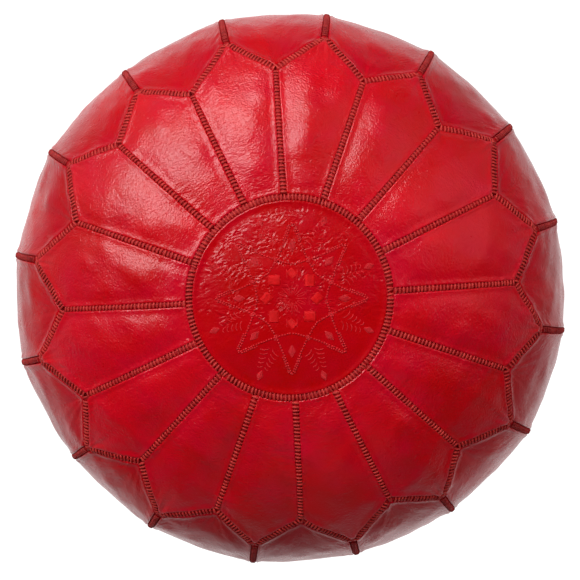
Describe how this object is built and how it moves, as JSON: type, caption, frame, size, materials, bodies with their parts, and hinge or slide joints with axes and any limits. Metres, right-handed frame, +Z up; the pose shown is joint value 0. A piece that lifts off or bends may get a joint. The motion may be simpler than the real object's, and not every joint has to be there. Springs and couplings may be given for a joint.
{
  "type": "leather pouf",
  "caption": "Round stuffed floor cushion sewn from leather petals and side panels, with an embroidered medallion on top and a zip in its recessed base.",
  "frame": {"origin": "on the floor, under the middle of the pouf", "axes": "+Z up; +X along the zip, from its closed end to its open end, and along one seam between two petals"},
  "size_m": [0.54, 0.54, 0.3304],
  "materials": {
    "medallion_leather": "glossy, crinkled",
    "petal_leather": "glossy, fine grain",
    "side_leather": "glossy, fine grain",
    "base_leather": "satin, fine grain",
    "seam_thread": "waxed thread",
    "embroidery_thread": "silk sheen",
    "zip_tape": "woven tape",
    "zip_teeth": "moulded",
    "zip_metal": "worn brass",
    "liner_cotton": "plain cotton",
    "stuffing_fibre": "loose fibre"
  },
  "bodies": {
    "cover": {"top_medallion": "medallion_leather", "medallion_embroidery": "embroidery_thread", "top_petal_01": "petal_leather", "top_petal_02": "petal_leather", "top_petal_03": "petal_leather", "top_petal_04": "petal_leather", "top_petal_05": "petal_leather", "top_petal_06": "petal_leather", "top_petal_07": "petal_leather", "top_petal_08": "petal_leather", "top_petal_09": "petal_leather", "top_petal_10": "petal_leather", "top_petal_11": "petal_leather", "top_petal_12": "petal_leather", "top_petal_13": "petal_leather", "top_petal_14": "petal_leather", "top_petal_15": "petal_leather", "top_petal_16": "petal_leather", "side_panel_01": "side_leather", "side_panel_02": "side_leather", "side_panel_03": "side_leather", "side_panel_04": "side_leather", "side_panel_05": "side_leather", "side_panel_06": "side_leather", "side_panel_07": "side_leather", "side_panel_08": "side_leather", "side_panel_09": "side_leather", "side_panel_10": "side_leather", "side_panel_11": "side_leather", "side_panel_12": "side_leather", "side_panel_13": "side_leather", "side_panel_14": "side_leather", "side_panel_15": "side_leather", "side_panel_16": "side_leather", "base_panel_01": "base_leather", "base_panel_02": "base_leather", "base_panel_03": "base_leather", "base_panel_04": "base_leather", "base_panel_05": "base_leather", "base_panel_06": "base_leather", "base_panel_07": "base_leather", "base_panel_08": "base_leather", "base_disc_front": "base_leather", "base_disc_back": "base_leather", "medallion_ring_stitching": "seam_thread", "petal_seam_stitching": "seam_thread", "top_zigzag_stitching": "seam_thread", "side_seam_stitching": "seam_thread", "base_zigzag_stitching": "seam_thread", "base_seam_stitching": "seam_thread", "base_ring_stitching": "seam_thread", "zip_tape_front": "zip_tape", "zip_tape_back": "zip_tape", "zip_teeth_front": "zip_teeth", "zip_teeth_back": "zip_teeth", "zip_end_stops": "zip_teeth", "inner_liner_bag": "liner_cotton", "stuffing": "stuffing_fibre"},
    "zip_slider": {"zip_slider": "zip_metal"},
    "zip_pull": {"zip_pull_tab": "zip_metal"}
  },
  "joints": [
    {"name": "zip_slide", "type": "slide", "parent": "cover", "child": "zip_slider", "axis": [1, 0, 0], "range_m": [0, 0.161], "deforming": ["zip_teeth_front", "zip_teeth_back"]},
    {"name": "pull_hinge", "type": "hinge", "parent": "zip_slider", "child": "zip_pull", "pos_m": [-0.0815, 0, 0.009], "axis": [0, 1, 0], "range_deg": [-16, 154]}
  ]
}
